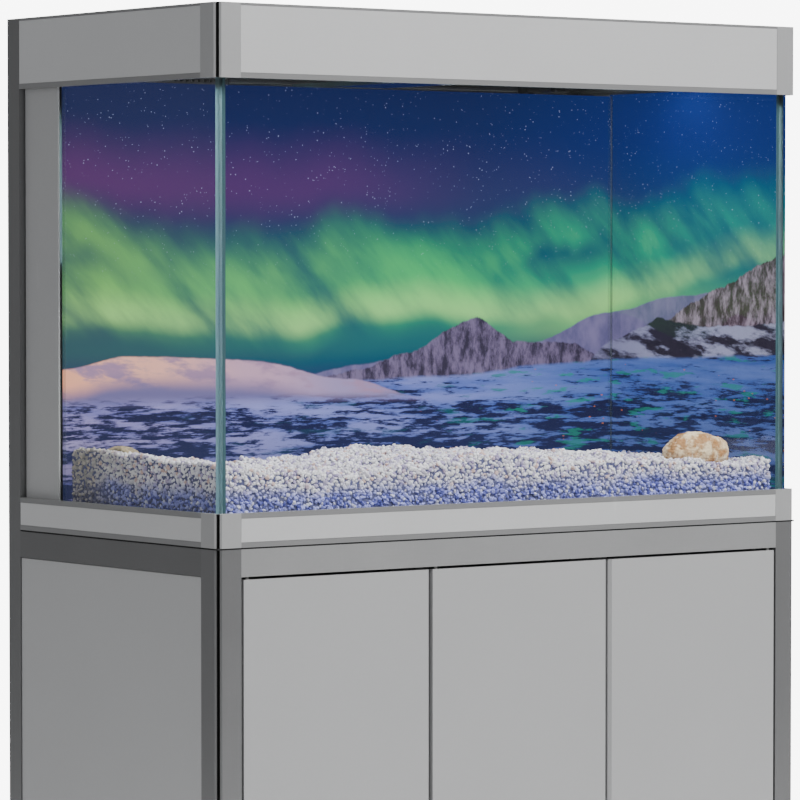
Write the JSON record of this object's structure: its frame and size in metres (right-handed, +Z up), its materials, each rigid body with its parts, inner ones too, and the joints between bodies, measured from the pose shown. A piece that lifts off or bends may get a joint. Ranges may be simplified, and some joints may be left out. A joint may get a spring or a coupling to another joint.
{
  "type": "aquarium on stand",
  "caption": "Glass tank with a rear filter chamber, standing on a metal-framed cabinet with hinged doors and closed by a hood with hinged lids and a lamp.",
  "frame": {"origin": "centre of the footprint on the floor", "axes": "+X to the right, -Y to the front where the doors are, +Z up"},
  "size_m": [1.2, 0.62, 1.545],
  "materials": {
    "cabinet_board": "grey satin laminate on board",
    "inner_board": "pale grey laminate on board",
    "door_board": "grey satin laminate on board",
    "fitting_steel": "zinc plated",
    "foot_steel": "zinc plated, dulled",
    "frame_aluminium": "dark satin anodised extrusion",
    "trim_aluminium": "light satin anodised",
    "lamp_aluminium": "satin anodised",
    "lid_plastic": "fine textured, dark grey",
    "dark_plastic": "moulded, matt black",
    "light_plastic": "moulded, off white",
    "cover_plastic": "satin grey sheet",
    "picture_film": "printed night-sky picture",
    "pump_plastic": "moulded, semi-gloss black",
    "diffuser": "opal",
    "mat_rubber": "matt black",
    "silicone": "black silicone, slight sheen",
    "tank_glass": "clear float glass with a green edge",
    "heater_glass": "smoked tube",
    "rock": "rough stone",
    "ceramic": "unglazed ceramic",
    "gravel": "loose pale pink and blue gravel",
    "sponge": "coarse open foam"
  },
  "bodies": {
    "carcass": {"back_panel": "cabinet_board", "background_film": "picture_film", "base_trim": "trim_aluminium", "bracket_screws": "fitting_steel", "ceramic_rings": "ceramic", "corner_brackets": "fitting_steel", "corner_pieces": "frame_aluminium", "deck_board": "inner_board", "door_magnets": "dark_plastic", "door_mullions": "frame_aluminium", "filter_baffles": "tank_glass", "filter_side_covers": "cover_plastic", "filter_sponge": "sponge", "floor_board": "inner_board", "foam_gaskets": "mat_rubber", "foot_inserts": "dark_plastic", "front_rails": "frame_aluminium", "glass_bottom": "tank_glass", "glass_braces": "tank_glass", "glass_front": "tank_glass", "glass_partition": "tank_glass", "glass_rear": "tank_glass", "glass_sides": "tank_glass", "gravel_bed": "gravel", "heater": "heater_glass", "hood_cross_rail": "frame_aluminium", "hood_fascia_back": "trim_aluminium", "hood_fascia_front": "trim_aluminium", "hood_fascia_sides": "trim_aluminium", "lamp_diffuser": "diffuser", "lamp_housing": "lamp_aluminium", "media_basket": "dark_plastic", "overflow_comb": "dark_plastic", "pivot_bushes": "light_plastic", "port_grommet": "mat_rubber", "post_front_left": "frame_aluminium", "post_front_right": "frame_aluminium", "post_rear_left": "frame_aluminium", "post_rear_right": "frame_aluminium", "rear_rails": "frame_aluminium", "return_pipe": "light_plastic", "return_pump": "pump_plastic", "rocks": "rock", "side_panels": "cabinet_board", "side_rails": "frame_aluminium", "silicone_seams": "silicone"},
    "door_left": {"door_left": "door_board", "door_left_fittings": "fitting_steel"},
    "door_middle": {"door_middle": "door_board", "door_middle_fittings": "fitting_steel"},
    "door_right": {"door_right": "door_board", "door_right_fittings": "fitting_steel"},
    "lid_left": {"hood_lid_left": "lid_plastic"},
    "lid_right": {"hood_lid_right": "lid_plastic"},
    "filter_lid": {"filter_lid": "lid_plastic"},
    "nozzle": {"return_nozzle": "pump_plastic"},
    "foot_front_left": {"foot_front_left": "foot_steel"},
    "foot_front_right": {"foot_front_right": "foot_steel"},
    "foot_rear_left": {"foot_rear_left": "foot_steel"},
    "foot_rear_right": {"foot_rear_right": "foot_steel"}
  },
  "joints": [
    {"name": "door_left_hinge", "type": "hinge", "parent": "carcass", "child": "door_left", "pos_m": [-0.5405, -0.304, 0.361], "axis": [0, 0, -1], "range_deg": [0, 95]},
    {"name": "door_middle_hinge", "type": "hinge", "parent": "carcass", "child": "door_middle", "pos_m": [-0.172, -0.304, 0.361], "axis": [0, 0, -1], "range_deg": [0, 95]},
    {"name": "door_right_hinge", "type": "hinge", "parent": "carcass", "child": "door_right", "pos_m": [0.5405, -0.304, 0.361], "axis": [0, 0, 1], "range_deg": [0, 95]},
    {"name": "lid_left_hinge", "type": "hinge", "parent": "carcass", "child": "lid_left", "pos_m": [-0.294, 0.115, 1.53], "axis": [-1, 0, 0], "range_deg": [0, 95]},
    {"name": "lid_right_hinge", "type": "hinge", "parent": "carcass", "child": "lid_right", "pos_m": [0.294, 0.115, 1.53], "axis": [-1, 0, 0], "range_deg": [0, 95]},
    {"name": "filter_lid_hinge", "type": "hinge", "parent": "carcass", "child": "filter_lid", "pos_m": [0, 0.155, 1.53], "axis": [1, 0, 0], "range_deg": [0, 80]},
    {"name": "nozzle_swivel", "type": "hinge", "parent": "carcass", "child": "nozzle", "pos_m": [0.42, 0.211, 1.45], "axis": [0, 0, 1], "range_deg": [-35, 35]},
    {"name": "foot_front_left_adjust", "type": "slide", "parent": "carcass", "child": "foot_front_left", "axis": [0, 0, 1], "range_m": [-0.015, 0.007]},
    {"name": "foot_front_right_adjust", "type": "slide", "parent": "carcass", "child": "foot_front_right", "axis": [0, 0, 1], "range_m": [-0.015, 0.007]},
    {"name": "foot_rear_left_adjust", "type": "slide", "parent": "carcass", "child": "foot_rear_left", "axis": [0, 0, 1], "range_m": [-0.015, 0.007]},
    {"name": "foot_rear_right_adjust", "type": "slide", "parent": "carcass", "child": "foot_rear_right", "axis": [0, 0, 1], "range_m": [-0.015, 0.007]}
  ]
}
